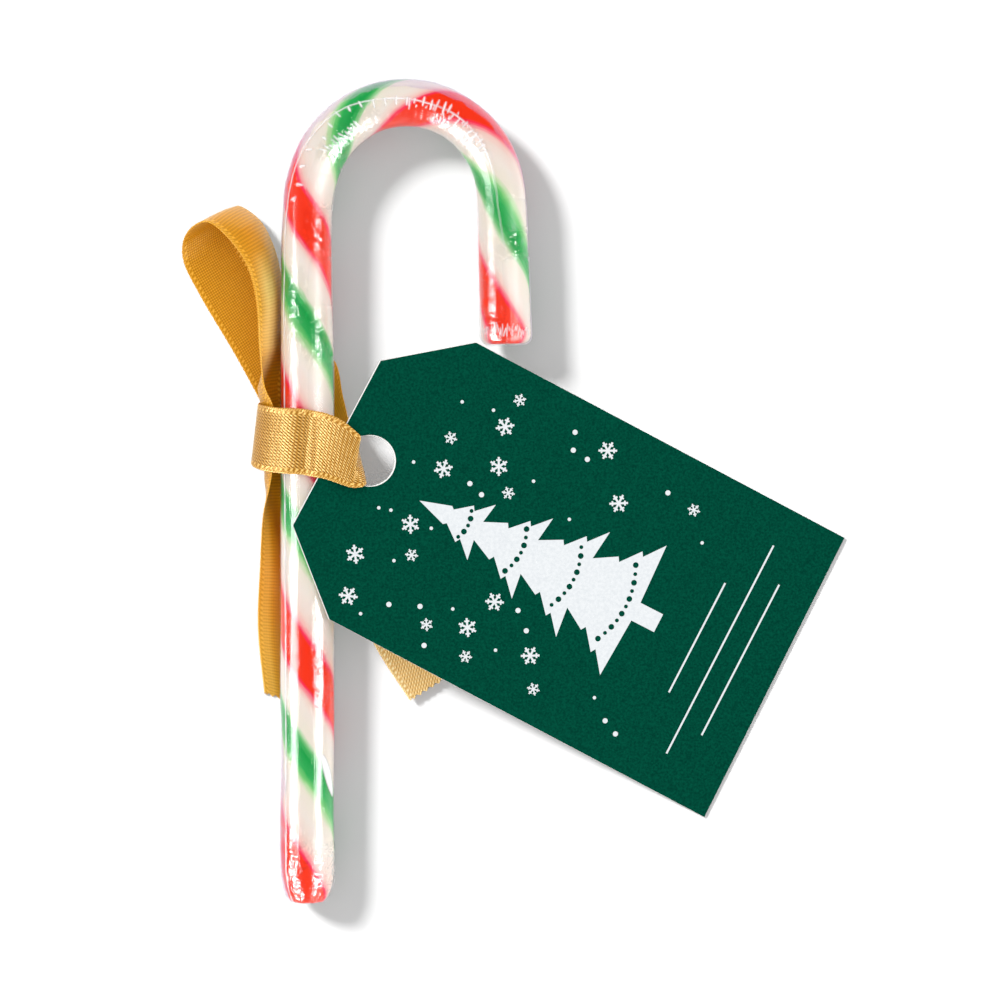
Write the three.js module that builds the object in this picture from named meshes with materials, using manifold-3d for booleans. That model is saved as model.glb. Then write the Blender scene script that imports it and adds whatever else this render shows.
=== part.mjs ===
// A film-wrapped candy cane lying on its side, with a card gift tag held on by a gold satin ribbon.
// Millimetres, +Z up, +Y from the cane's foot to the crown of its hook.
// The origin is on the resting surface, under the middle of the whole piece.

import * as THREE from "three";
import { mergeVertices } from "three/addons/utils/BufferGeometryUtils.js";
import Module from "manifold-3d";

// Places below are measured from a point near the middle; this is the true middle, seen from there.
const MIDDLE = new THREE.Vector3(0.42, 0.225, 0);

// ---- Cane ----
const FOOT = new THREE.Vector3(-34.75, -69.6, 4.35); // middle of the cane's lower end
const SHAFT_LENGTH = 119.1; // foot to where the hook starts
const HOOK_RADIUS = 16.5; // of the hook's centre line
const HOOK_TURN = THREE.MathUtils.degToRad(178.3);
const LEG_LENGTH = 25.0; // straight end of the hook
const CANE_LEAN = THREE.MathUtils.degToRad(0.05); // shaft's turn from +Y, towards the hook's opening
const CANE_LIFT = THREE.MathUtils.degToRad(0.6); // the shaft lies on the ribbon, so the hook end is up
const RADIUS_AT_FOOT = 4.5; // the candy in its film, which is looser towards both ends
const RADIUS_AT_HOOK = 4.1;
const RADIUS_AT_LEG = 4.4;
const FOOT_ROUND = { length: 7.5, depth: 2.0 };
const LEG_ROUND = { length: 1.6, depth: 1.4 };
// How far the film reaches to either side of the centre line. Each row is the distance from the foot,
// the reach on the left of the shaft and outside of the hook, and the reach on the right and inside.
const SIDE_REACH = [
  [0, 4.55, 5.0], [3, 4.55, 4.95], [7, 4.58, 4.7], [14, 4.62, 4.6], [20, 4.45, 4.6], [26, 4.36, 4.68],
  [31, 4.45, 4.72], [35, 4.65, 4.72], [48, 4.58, 4.7], [95, 4.56, 4.55], [104, 4.52, 4.22],
  [113, 4.4, 4.2], [118, 4.15, 4.4], [123, 3.8, 4.75], [129, 3.8, 4.65], [134, 3.9, 4.45],
  [139, 4.0, 4.15], [150, 4.1, 3.95], [156, 4.0, 3.95], [162, 4.1, 4.2], [168, 4.05, 4.3],
  [174, 4.25, 4.2], [182, 4.4, 4.35], [197, 4.5, 4.4],
];
const CANE_SIDES = 28;
const SHAFT_STEPS = 18;
const HOOK_STEPS = 30;
const LEG_STEPS = 4;
const ROUND_STEPS = 5;

// ---- Gift tag, in its own plane: x from the free edge back to the hung end, y across ----
const TAG_CORNERS = [ // cut by hand, a little out of square
  [0, -26.86], [-0.56, 26.82], [-72.4, 27.23], [-85.33, 17.06], [-85.76, -14.22], [-73.08, -25.53],
];
const TAG_THICKNESS = 0.45;
const TAG_HOLE = [-79.23, 1.33];
const TAG_HOLE_RADIUS = 4.25;
const TAG_HOLE_SIDES = 40;
const TAG_FREE_END = new THREE.Vector3(45.35, -31.88, 0); // in the edge that rests on the surface
const TAG_YAW = THREE.MathUtils.degToRad(-27.25);
const TAG_TILT = THREE.MathUtils.degToRad(6.87); // its hung end lies on the cane

// ---- Ribbon ----
const RIBBON_WIDTH = 10.5;
const RIBBON_THICKNESS = 0.25;
const RIBBON_COLUMNS = 4; // facets across the width
const RIBBON_STEPS = 3; // facets from one station to the next

// Each station is a line across the ribbon: its left edge, its right edge, and how far it bows.
// Bow 1 is the full bow of a ribbon whose edges are nearer than its width; -1 bows to the other face.
const LOOP_STATIONS = [
  // left tail, from its cut end up beside the cane
  { left: [-42.4, -34.1, 0.3], right: [-32.5, -35.5, 0.15], bow: 0 },
  { left: [-43.4, -23.3, 1.2], right: [-33.5, -24.3, 0.15], bow: 0 },
  { left: [-42.9, -12.4, 2.6], right: [-33.9, -12.7, 0.15], bow: -0.35 },
  { left: [-42.2, -3.9, 4.6], right: [-35.9, -3.7, 0.2], bow: -0.65 },
  { left: [-40.8, 1.7, 6.6], right: [-38.0, 2.1, 0.3], bow: -0.85 },
  // gathered inside the band
  { left: [-40.1, 7.1, 7.6], right: [-38.8, 7.6, 0.6], bow: -0.85 },
  { left: [-40.1, 13.9, 7.8], right: [-39.0, 14.5, 0.6], bow: -1 },
  // loop, standing on its edge beside the cane
  { left: [-41.6, 17.7, 8.4], right: [-39.2, 18.7, 0.6], bow: -1 },
  { left: [-42.4, 23.9, 8.8], right: [-39.2, 25.1, 0.4], bow: 0.2 },
  { left: [-43.0, 32.3, 8.9], right: [-39.3, 34.7, 0.5], bow: 0.6 },
  { left: [-44.5, 38.1, 9.0], right: [-40.6, 41.5, 0.8], bow: 0.7 },
  { left: [-47.7, 42.8, 9.1], right: [-43.2, 46.6, 1.4], bow: 0.6 },
  // top of the loop
  { left: [-51.1, 45.5, 8.6], right: [-46.9, 49.0, 1.0], bow: 0.2 },
  { left: [-54.1, 44.9, 6.0], right: [-47.6, 48.4, 0.5], bow: 0 },
  { left: [-56.1, 42.6, 2.6], right: [-48.1, 46.6, 0.3], bow: 0 },
  { left: [-56.2, 39.5, 0.6], right: [-47.4, 43.5, 0.2], bow: 0 },
  // back of the loop, flat on the surface, then under the cane and the tag
  { left: [-53.5, 33.9, 0.2], right: [-44.5, 38.5, 0.2], bow: 0 },
  { left: [-47.3, 23.4, 0.2], right: [-38.5, 28.4, 0.2], bow: 0 },
  { left: [-43.0, 15.5, 0.5], right: [-34.0, 20.1, 0.5], bow: 0 },
  { left: [-37.6, 4.2, 0.5], right: [-28.5, 8.5, 0.5], bow: 0 },
  { left: [-31.1, -10.3, 0.2], right: [-21.9, -6.0, 0.2], bow: 0 },
  // right tail
  { left: [-23.2, -26.7, 0.5], right: [-14.3, -21.4, 0.6], bow: 0 },
  { left: [-17.4, -35.6, 1.4], right: [-8.6, -30.1, 1.3], bow: 0 },
];
const BAND_STATIONS = [
  // over the cane, from its left side to the tag's hole
  { left: [-42.9, 15.1, 4.6], right: [-44.1, 5.2, 4.6], bow: 0 },
  { left: [-42.2, 14.8, 7.0], right: [-43.1, 4.1, 7.0], bow: 0 },
  { left: [-40.7, 14.4, 8.5], right: [-41.4, 3.5, 8.5], bow: 0 },
  { left: [-37.6, 14.1, 9.8], right: [-38.0, 3.1, 9.8], bow: 0 },
  { left: [-34.5, 13.9, 9.8], right: [-34.9, 2.9, 9.9], bow: 0 },
  { left: [-32.6, 13.5, 10.3], right: [-33.1, 2.5, 10.75], bow: 0 },
  { left: [-31.1, 13.2, 10.8], right: [-31.6, 2.3, 11.1], bow: 0 },
  { left: [-28.6, 12.1, 11.2], right: [-28.6, 1.4, 11.15], bow: 0 },
  { left: [-26.6, 10.6, 11.1], right: [-26.9, 0.9, 11.15], bow: 0 },
  // down through the hole, its edge nearer the hook first
  { left: [-25.3, 9.2, 10.8], right: [-25.7, 0.8, 11.1], bow: 0 },
  { left: [-25.6, 8.5, 9.9], right: [-24.8, 0.9, 10.8], bow: 0 },
  { left: [-26.1, 7.8, 8.6], right: [-24.3, 1.2, 10.2], bow: 0 },
  { left: [-26.2, 8.0, 6.8], right: [-24.5, 1.7, 8.2], bow: 0 },
  { left: [-26.7, 10.0, 3.4], right: [-25.7, 1.2, 4.2], bow: 0 },
  { left: [-27.8, 12.2, 1.2], right: [-28.3, 2.4, 1.2], bow: 0 },
  // under the cane, back to its left side
  { left: [-28.9, 16.5, 0.5], right: [-32.0, 6.9, 0.3], bow: 0 },
  { left: [-30.5, 22.7, 0.2], right: [-35.8, 14.1, 0.2], bow: 0 },
  { left: [-34.9, 24.8, 0.2], right: [-38.0, 15.2, 0.2], bow: 0 },
  { left: [-39.7, 20.8, 0.3], right: [-40.7, 10.7, 0.3], bow: 0 },
  { left: [-41.8, 16.8, 1.6], right: [-43.0, 6.4, 1.6], bow: 0 },
];

// A body through a row of rings, each the same number of points, turning right-handed along the row.
// An open row is capped at both ends with a fan round the ring's middle.
function loft(rings, isLoop) {
  const count = rings[0].length;
  const points = rings.flat();
  const triangles = [];
  const last = isLoop ? rings.length : rings.length - 1;
  for (let i = 0; i < last; i++) {
    const here = i * count;
    const next = ((i + 1) % rings.length) * count;
    for (let j = 0; j < count; j++) {
      const k = (j + 1) % count;
      triangles.push(here + j, here + k, next + k);
      triangles.push(here + j, next + k, next + j);
    }
  }
  if (!isLoop) {
    const endRing = (rings.length - 1) * count;
    const firstMiddle = points.push(middleOf(rings[0])) - 1;
    const endMiddle = points.push(middleOf(rings[rings.length - 1])) - 1;
    for (let j = 0; j < count; j++) {
      const k = (j + 1) % count;
      triangles.push(firstMiddle, k, j);
      triangles.push(endMiddle, endRing + j, endRing + k);
    }
  }
  const geometry = new THREE.BufferGeometry().setFromPoints(points);
  geometry.setIndex(triangles);
  return geometry;
}

function middleOf(points) {
  const middle = new THREE.Vector3();
  for (const point of points) middle.add(point);
  return middle.divideScalar(points.length);
}

// Joins two closed bodies into one.
function join(wasm, first, second) {
  const [a, b] = [first, second].map((geometry) => {
    const plain = geometry.clone();
    plain.deleteAttribute("normal");
    plain.deleteAttribute("uv");
    const merged = mergeVertices(plain, 1e-4);
    return new wasm.Manifold(new wasm.Mesh({
      numProp: 3,
      vertProperties: new Float32Array(merged.attributes.position.array),
      triVerts: new Uint32Array(merged.index.array),
    }));
  });
  const mesh = a.add(b).getMesh();
  const joined = new THREE.BufferGeometry();
  joined.setAttribute("position", new THREE.BufferAttribute(mesh.vertProperties, 3));
  joined.setIndex(new THREE.BufferAttribute(mesh.triVerts, 1));
  return joined;
}

// ---- The cane: a round bar swept up the shaft, round the hook and down its leg ----

const CANE_RUN = SHAFT_LENGTH + HOOK_RADIUS * HOOK_TURN + LEG_LENGTH;

// Point and direction on the centre line, at a distance from the foot.
function caneAxis(distance) {
  const point = new THREE.Vector3(0, Math.min(distance, SHAFT_LENGTH), 0);
  const turn = THREE.MathUtils.clamp((distance - SHAFT_LENGTH) / HOOK_RADIUS, 0, HOOK_TURN);
  const direction = new THREE.Vector3(Math.sin(turn), Math.cos(turn), 0);
  point.x += HOOK_RADIUS * (1 - Math.cos(turn));
  point.y += HOOK_RADIUS * Math.sin(turn);
  const alongLeg = Math.max(distance - SHAFT_LENGTH - HOOK_RADIUS * HOOK_TURN, 0);
  point.addScaledVector(direction, alongLeg);
  const pose = new THREE.Matrix4().makeRotationX(CANE_LIFT);
  pose.premultiply(new THREE.Matrix4().makeRotationZ(-CANE_LEAN)).setPosition(FOOT);
  return { point: point.applyMatrix4(pose), direction: direction.transformDirection(pose) };
}

// How much an end's rounding takes off the radius, at a distance from that end.
function rounding(distance, round) {
  if (distance >= round.length) return 0;
  const share = 1 - distance / round.length;
  return round.depth * (1 - Math.sqrt(1 - share * share));
}

function fullRadius(distance) {
  const upShaft = Math.min(distance / SHAFT_LENGTH, 1);
  const downLeg = Math.max(1 - (CANE_RUN - distance) / LEG_LENGTH, 0);
  const onShaft = THREE.MathUtils.lerp(RADIUS_AT_FOOT, RADIUS_AT_HOOK, upShaft);
  return THREE.MathUtils.lerp(onShaft, RADIUS_AT_LEG, downLeg);
}

function caneRadius(distance) {
  const taken = rounding(distance, FOOT_ROUND) + rounding(CANE_RUN - distance, LEG_ROUND);
  return fullRadius(distance) - taken;
}

// How much wider than round the cane is at an angle from its top: all of it at its sides.
function sideStretch(distance, angle) {
  const next = Math.min(SIDE_REACH.findIndex((row) => row[0] > distance), SIDE_REACH.length - 1);
  const [from, to] = [SIDE_REACH[next - 1], SIDE_REACH[next]];
  const share = (distance - from[0]) / (to[0] - from[0]);
  const column = Math.sin(angle) < 0 ? 1 : 2;
  const reach = THREE.MathUtils.lerp(from[column], to[column], share);
  return 1 + (reach / fullRadius(distance) - 1) * Math.sin(angle) ** 2;
}

// Distances of the rings: closer on the rounded ends, where the outline turns fastest.
function caneDistances() {
  const distances = [];
  for (let i = 0; i < ROUND_STEPS; i++) {
    const angle = (i / ROUND_STEPS) * Math.PI / 2;
    distances.push(FOOT_ROUND.length * (1 - Math.cos(angle)));
  }
  for (let i = 0; i < SHAFT_STEPS; i++) {
    distances.push(THREE.MathUtils.lerp(FOOT_ROUND.length, SHAFT_LENGTH, i / SHAFT_STEPS));
  }
  const hookEnd = SHAFT_LENGTH + HOOK_RADIUS * HOOK_TURN;
  for (let i = 0; i < HOOK_STEPS; i++) {
    distances.push(THREE.MathUtils.lerp(SHAFT_LENGTH, hookEnd, i / HOOK_STEPS));
  }
  for (let i = 0; i < LEG_STEPS; i++) {
    distances.push(THREE.MathUtils.lerp(hookEnd, CANE_RUN - LEG_ROUND.length, i / LEG_STEPS));
  }
  for (let i = 0; i <= ROUND_STEPS; i++) {
    const angle = (i / ROUND_STEPS) * Math.PI / 2;
    distances.push(CANE_RUN - LEG_ROUND.length * (1 - Math.sin(angle)));
  }
  return distances;
}

// The underside is flattened where it meets the resting surface, near the foot.
function makeCane() {
  const up = new THREE.Vector3(0, 0, 1);
  const rings = caneDistances().map((distance) => {
    const { point, direction } = caneAxis(distance);
    const side = new THREE.Vector3().crossVectors(direction, up).normalize();
    const crown = new THREE.Vector3().crossVectors(side, direction);
    const ring = [];
    for (let j = 0; j < CANE_SIDES; j++) {
      const angle = (j / CANE_SIDES) * 2 * Math.PI;
      const spot = point.clone().addScaledVector(crown, caneRadius(distance) * Math.cos(angle));
      const sideways = caneRadius(distance) * sideStretch(distance, angle) * Math.sin(angle);
      spot.addScaledVector(side, sideways);
      spot.z = Math.max(spot.z, 0);
      ring.push(spot);
    }
    return ring;
  });
  return loft(rings, false);
}

// ---- The tag: card with two cut corners and a punched hole ----

function makeTag() {
  const outline = new THREE.Shape(TAG_CORNERS.map((corner) => new THREE.Vector2(...corner)));
  const hole = new THREE.Path();
  hole.absarc(...TAG_HOLE, TAG_HOLE_RADIUS, 0, 2 * Math.PI, true);
  outline.holes.push(hole);
  return new THREE.ExtrudeGeometry(outline, {
    depth: TAG_THICKNESS,
    bevelEnabled: false,
    curveSegments: TAG_HOLE_SIDES,
  });
}

// ---- The ribbon: strips of satin ruled between their two edges ----

// Height of the arc that a ribbon takes when its edges are held nearer than its width.
function fullBow(chord) {
  return Math.sqrt(Math.max(3 * chord * (RIBBON_WIDTH - chord) / 8, 0));
}

function makeStrip(stations, isLoop) {
  const edge = (side) => new THREE.CatmullRomCurve3(
    stations.map((station) => new THREE.Vector3(...station[side])), isLoop, "centripetal");
  const leftEdge = edge("left");
  const rightEdge = edge("right");
  const spans = isLoop ? stations.length : stations.length - 1;
  const ringCount = spans * RIBBON_STEPS + (isLoop ? 0 : 1);
  const rings = [];
  for (let i = 0; i < ringCount; i++) {
    const t = i / (spans * RIBBON_STEPS);
    const left = leftEdge.getPoint(t);
    const right = rightEdge.getPoint(t);
    const travel = leftEdge.getTangent(t).add(rightEdge.getTangent(t));
    const across = right.clone().sub(left);
    const face = new THREE.Vector3().crossVectors(across, travel).normalize();
    const station = Math.floor(i / RIBBON_STEPS);
    const nextStation = Math.min(station + 1, stations.length - 1);
    const share = (i % RIBBON_STEPS) / RIBBON_STEPS;
    const side = THREE.MathUtils.lerp(stations[station].bow, stations[nextStation].bow, share);
    const bow = side * fullBow(across.length());
    const ring = [];
    for (const [layer, order] of [[0.5, 1], [-0.5, -1]]) {
      for (let j = 0; j <= RIBBON_COLUMNS; j++) {
        const step = j / RIBBON_COLUMNS;
        const u = order > 0 ? step : 1 - step;
        const lift = bow * 4 * u * (1 - u) + layer * RIBBON_THICKNESS;
        ring.push(left.clone().lerp(right, u).addScaledVector(face, lift));
      }
    }
    rings.push(ring);
  }
  return loft(rings, isLoop);
}

// ---- The whole piece ----

const candyMaterial = new THREE.MeshStandardMaterial({ color: "#f2ded6", roughness: 0.25, metalness: 0 });
const satinMaterial = new THREE.MeshStandardMaterial({ color: "#d49a3c", roughness: 0.45, metalness: 0 });
const cardMaterial = new THREE.MeshStandardMaterial({ color: "#0a4a38", roughness: 0.85, metalness: 0 });

const wasm = await Module();
wasm.setup();

const cane = new THREE.Mesh(makeCane(), candyMaterial);
cane.name = "wrapped_cane";

const tag = new THREE.Mesh(makeTag(), cardMaterial);
tag.name = "gift_tag";
tag.position.copy(TAG_FREE_END);
tag.rotation.set(0, TAG_TILT, TAG_YAW, "ZYX");

const ribbonBody = join(wasm, makeStrip(LOOP_STATIONS, false), makeStrip(BAND_STATIONS, true));
const ribbon = new THREE.Mesh(ribbonBody, satinMaterial);
ribbon.name = "ribbon";

const part = new THREE.Group();
part.add(cane, tag, ribbon);
part.position.copy(MIDDLE).negate();

export default part;
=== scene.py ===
# Looks of a film-wrapped candy cane with a card gift tag tied on by a gold satin ribbon.
# Lengths are millimetres until add_mesh and plate turn them into metres, and the lights' are metres.
# Each mesh is made where it lies.
import math

import bmesh
import bpy
import numpy as np
from mathutils import Matrix, Vector


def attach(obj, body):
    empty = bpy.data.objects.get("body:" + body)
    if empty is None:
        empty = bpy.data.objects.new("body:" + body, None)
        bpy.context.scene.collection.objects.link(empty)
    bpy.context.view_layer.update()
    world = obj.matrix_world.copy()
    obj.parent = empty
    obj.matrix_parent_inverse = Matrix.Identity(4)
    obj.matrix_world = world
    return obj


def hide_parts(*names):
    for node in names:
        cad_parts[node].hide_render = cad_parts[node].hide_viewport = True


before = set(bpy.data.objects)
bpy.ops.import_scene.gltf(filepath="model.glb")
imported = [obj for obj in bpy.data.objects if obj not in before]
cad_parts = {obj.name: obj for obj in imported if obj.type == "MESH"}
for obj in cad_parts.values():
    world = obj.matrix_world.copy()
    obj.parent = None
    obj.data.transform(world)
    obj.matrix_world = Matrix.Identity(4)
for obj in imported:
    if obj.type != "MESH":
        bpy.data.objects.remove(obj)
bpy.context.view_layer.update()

MM = 0.001
TURN = 2 * math.pi
UP = np.array([0.0, 0.0, 1.0])
MIDDLE = np.array([0.42, 0.225, 0.0])  # the origin, seen from the point that places are measured from

# ---- Cane ----
FOOT = np.array([-34.75, -69.6, 4.35])  # middle of the cane's lower end
SHAFT_LENGTH = 119.1
HOOK_RADIUS = 16.5
HOOK_TURN = math.radians(178.3)
LEG_LENGTH = 25.0
CANE_LEAN = math.radians(0.05)
CANE_LIFT = math.radians(0.6)
RADIUS_AT_FOOT = 4.5
RADIUS_AT_HOOK = 4.1
RADIUS_AT_LEG = 4.4
HOOK_END = SHAFT_LENGTH + HOOK_RADIUS * HOOK_TURN
CANE_RUN = HOOK_END + LEG_LENGTH
# How far the film reaches to either side of the centre line: distance from the foot, reach on the left of
# the shaft and outside of the hook, reach on the right and inside.
SIDE_REACH = [(0, 4.55, 5.0), (3, 4.55, 4.95), (7, 4.58, 4.7), (14, 4.62, 4.6), (20, 4.45, 4.6),
              (26, 4.36, 4.68), (31, 4.45, 4.72), (35, 4.65, 4.72), (48, 4.58, 4.7), (95, 4.56, 4.55),
              (104, 4.52, 4.22), (113, 4.4, 4.2), (118, 4.15, 4.4), (123, 3.8, 4.75), (129, 3.8, 4.65),
              (134, 3.9, 4.45), (139, 4.0, 4.15), (150, 4.1, 3.95), (156, 4.0, 3.95), (162, 4.1, 4.2),
              (168, 4.05, 4.3), (174, 4.25, 4.2), (182, 4.4, 4.35), (197, 4.5, 4.4)]
FILM_GAP = 0.12  # between the sleeve and the sugar
FILM_ROUNDS = {"foot": (7.5, 2.0), "leg": (1.6, 1.4)}  # length and depth of each end's rounding
CANDY_ROUNDS = {"foot": (8.0, 2.25), "leg": (1.9, 1.5)}

# ---- Gift tag, in its own plane: x from the free edge back to the hung end, y across ----
TAG_CORNERS = [  # cut by hand, a little out of square
    (0, -26.86), (-0.56, 26.82), (-72.4, 27.23), (-85.33, 17.06), (-85.76, -14.22), (-73.08, -25.53),
]
TAG_THICKNESS = 0.45
TAG_HOLE = np.array([-79.23, 1.33])
TAG_HOLE_RADIUS = 4.25
HOLE_SIDES = 72
TAG_FREE_END = np.array([45.35, -31.88, 0.0])  # in the edge that rests on the surface
TAG_YAW = math.radians(-27.25)
TAG_TILT = math.radians(6.87)  # its hung end lies on the cane
INK_SHIFT = (0.15, 0.03)  # the print sits a little off the cut card
INK_THICKNESS = 0.02

# ---- Ribbon ----
RIBBON_WIDTH = 10.5
RIBBON_THICKNESS = 0.22
WEFT_LOOP = 0.9  # spacing of the places where the weft turns back at each selvedge
CORD_TWIST = 0.45  # spacing of the turns in the selvedge's cord
TAIL_STATION = 20  # the loop's right tail starts here, under the tag

# Each station is a line across the ribbon: its left edge, its right edge, and how far it bows.
LOOP_STATIONS = [
    # left tail, from its cut end up beside the cane
    ((-42.4, -34.4, 0.3), (-32.5, -37.6, 0.15), 0),
    ((-43.4, -23.3, 1.2), (-33.5, -24.3, 0.15), 0),
    ((-42.9, -12.4, 2.6), (-33.9, -12.7, 0.15), -0.35),
    ((-42.2, -3.9, 4.6), (-35.9, -3.7, 0.2), -0.65),
    ((-40.8, 1.7, 6.6), (-38.0, 2.1, 0.3), -0.85),
    # gathered inside the band
    ((-40.1, 7.1, 7.6), (-38.8, 7.6, 0.6), -0.85),
    ((-40.1, 13.9, 7.8), (-39.0, 14.5, 0.6), -1),
    # loop, standing on its edge beside the cane
    ((-41.6, 17.7, 8.4), (-39.2, 18.7, 0.6), -1),
    ((-42.4, 23.9, 8.8), (-39.2, 25.1, 0.4), 0.2),
    ((-43.0, 32.3, 8.9), (-39.3, 34.7, 0.5), 0.6),
    ((-44.5, 38.1, 9.0), (-40.6, 41.5, 0.8), 0.7),
    ((-47.7, 42.8, 9.1), (-43.2, 46.6, 1.4), 0.6),
    # top of the loop
    ((-51.1, 45.5, 8.6), (-46.9, 49.0, 1.0), 0.2),
    ((-54.1, 44.9, 6.0), (-47.6, 48.4, 0.5), 0),
    ((-56.1, 42.6, 2.6), (-48.1, 46.6, 0.3), 0),
    ((-56.2, 39.5, 0.6), (-47.4, 43.5, 0.2), 0),
    # back of the loop, flat on the surface, then under the cane and the tag
    ((-53.5, 33.9, 0.2), (-44.5, 38.5, 0.2), 0),
    ((-47.3, 23.4, 0.2), (-38.5, 28.4, 0.2), 0),
    ((-43.0, 15.5, 0.5), (-34.0, 20.1, 0.5), 0),
    ((-37.6, 4.2, 0.5), (-28.5, 8.5, 0.5), 0),
    ((-31.1, -10.3, 0.2), (-21.9, -6.0, 0.2), 0),
    # right tail
    ((-23.2, -26.7, 0.5), (-14.3, -21.4, 0.6), 0),
    ((-17.4, -35.6, 1.4), (-8.6, -30.1, 1.3), 0),
]
BAND_STATIONS = [
    # over the cane, from its left side to the tag's hole
    ((-42.9, 15.1, 4.6), (-44.1, 5.2, 4.6), 0),
    ((-42.8, 14.9, 6.0), (-43.9, 4.5, 6.0), 0),
    ((-41.9, 14.6, 7.4), (-42.8, 3.9, 7.4), 0),
    ((-40.7, 14.4, 8.4), (-41.4, 3.5, 8.4), 0),
    ((-39.3, 14.2, 9.15), (-39.8, 3.3, 9.15), 0),
    ((-37.6, 14.1, 9.85), (-38.0, 3.1, 9.85), 0),
    ((-35.6, 14.0, 10.1), (-36.1, 3.0, 10.1), 0),
    ((-34.5, 13.9, 9.75), (-34.9, 2.9, 9.9), 0),
    ((-33.5, 13.7, 9.8), (-33.9, 2.7, 10.2), 0),
    ((-32.4, 13.5, 10.3), (-32.9, 2.5, 10.8), 0),
    ((-31.1, 13.2, 10.8), (-31.6, 2.3, 11.05), 0),
    ((-28.6, 12.1, 11.2), (-29.4, 1.6, 11.15), 0),
    ((-26.6, 10.6, 11.1), (-28.0, 1.1, 11.15), 0),
    # down through the hole, its edge nearer the hook first
    ((-25.3, 9.2, 10.8), (-27.0, 0.8, 11.15), 0),
    ((-26.1, 8.3, 10.0), (-26.0, 0.75, 11.1), 0),
    ((-26.8, 7.6, 8.8), (-25.0, 0.9, 10.8), 0.06),
    ((-26.7, 7.9, 7.2), (-24.5, 1.3, 9.6), 0.1),
    ((-26.4, 8.6, 5.2), (-24.9, 1.6, 7.2), 0.05),
    ((-26.7, 10.0, 3.4), (-25.7, 1.2, 4.2), 0),
    ((-27.8, 12.2, 1.2), (-28.3, 2.4, 1.2), 0),
    # under the cane, back to its left side
    ((-28.9, 16.5, 0.5), (-32.0, 6.9, 0.3), 0),
    ((-30.5, 22.7, 0.2), (-35.8, 14.1, 0.2), 0),
    ((-34.9, 24.8, 0.2), (-38.0, 15.2, 0.2), 0),
    ((-39.7, 20.8, 0.3), (-40.7, 10.7, 0.3), 0),
    ((-41.8, 16.8, 1.6), (-43.0, 6.4, 1.6), 0),
]


# ---- Meshes ----

def add_mesh(name, points, faces, places=None):
    """A smooth-shaded object from points in mm; places are texture places, one for each face corner."""
    mesh = bpy.data.meshes.new(name)
    mesh.from_pydata((np.asarray(points, float) * MM).tolist(), [], [list(face) for face in faces])
    if places is not None:
        mesh.uv_layers.new(name="places").uv.foreach_set("vector", np.asarray(places, np.float32).ravel())
    mesh.shade_smooth()
    piece = bpy.data.objects.new(name, mesh)
    bpy.context.scene.collection.objects.link(piece)
    return piece


def grid_faces(rows, columns, wraps_across, wraps_along=False):
    """Quads of a grid of points, row by row, and the row and column of each corner, not wrapped."""
    across = columns if wraps_across else columns - 1
    along = rows if wraps_along else rows - 1
    i, j = np.meshgrid(np.arange(along), np.arange(across), indexing="ij")
    corner_row = np.stack([i, i, i + 1, i + 1], axis=-1).reshape(-1, 4)
    corner_column = np.stack([j, j + 1, j + 1, j], axis=-1).reshape(-1, 4)
    faces = (corner_row % rows) * columns + corner_column % columns
    return faces, corner_row, corner_column


def smoothstep(x):
    x = np.clip(x, 0, 1)
    return x * x * (3 - 2 * x)


# ---- The cane's form ----

def cane_axis(distance):
    """Points and directions on the cane's centre line, at distances from its foot."""
    turn = np.clip((distance - SHAFT_LENGTH) / HOOK_RADIUS, 0, HOOK_TURN)
    direction = np.stack([np.sin(turn), np.cos(turn), np.zeros_like(turn)], axis=-1)
    rise = np.minimum(distance, SHAFT_LENGTH) + HOOK_RADIUS * np.sin(turn)
    point = np.stack([HOOK_RADIUS * (1 - np.cos(turn)), rise, np.zeros_like(turn)], axis=-1)
    point += np.maximum(distance - HOOK_END, 0)[..., None] * direction
    pose = np.array(Matrix.Rotation(-CANE_LEAN, 3, "Z") @ Matrix.Rotation(CANE_LIFT, 3, "X"))
    return point @ pose.T + FOOT - MIDDLE, direction @ pose.T


def rounding(distance, length, depth):
    """How much an end's rounding takes off the radius, at a distance from that end."""
    share = 1 - np.clip(distance / length, 0, 1)
    return depth * (1 - np.sqrt(1 - share * share))


def full_radius(distance):
    on_shaft = np.interp(distance, [0, SHAFT_LENGTH], [RADIUS_AT_FOOT, RADIUS_AT_HOOK])
    return on_shaft + (RADIUS_AT_LEG - on_shaft) * np.clip((distance - HOOK_END) / LEG_LENGTH, 0, 1)


def cane_radius(distance, rounds):
    taken = rounding(distance, *rounds["foot"]) + rounding(CANE_RUN - distance, *rounds["leg"])
    return full_radius(distance) - taken


def side_stretch(distances, angles):
    """How much wider than round the cane is, ring by ring and angle by angle: all of it at its sides."""
    where, left, right = np.array(SIDE_REACH).T
    reach = np.where(np.sin(angles)[None, :] < 0, np.interp(distances, where, left)[:, None],
                     np.interp(distances, where, right)[:, None])
    return 1 + (reach / full_radius(distances)[:, None] - 1) * np.sin(angles)[None, :] ** 2


def ring_distances(start, end, rounds, spacings):
    """Distances of a tube's rings: close on the rounded ends, and as spacings says between them.
    Each spacing is (where it ends, step)."""
    quarter = np.linspace(0, math.pi / 2, 13)
    parts = [start + rounds["foot"][0] * (1 - np.cos(quarter[:-1]))]
    here = start + rounds["foot"][0]
    last = end - rounds["leg"][0]
    for until, step in spacings:
        until = min(until, last)
        count = max(round((until - here) / step), 1)
        parts.append(np.linspace(here, until, count, endpoint=False))
        here = until
    parts.append(end - rounds["leg"][0] * (1 - np.sin(quarter)))
    return np.concatenate(parts)


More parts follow.
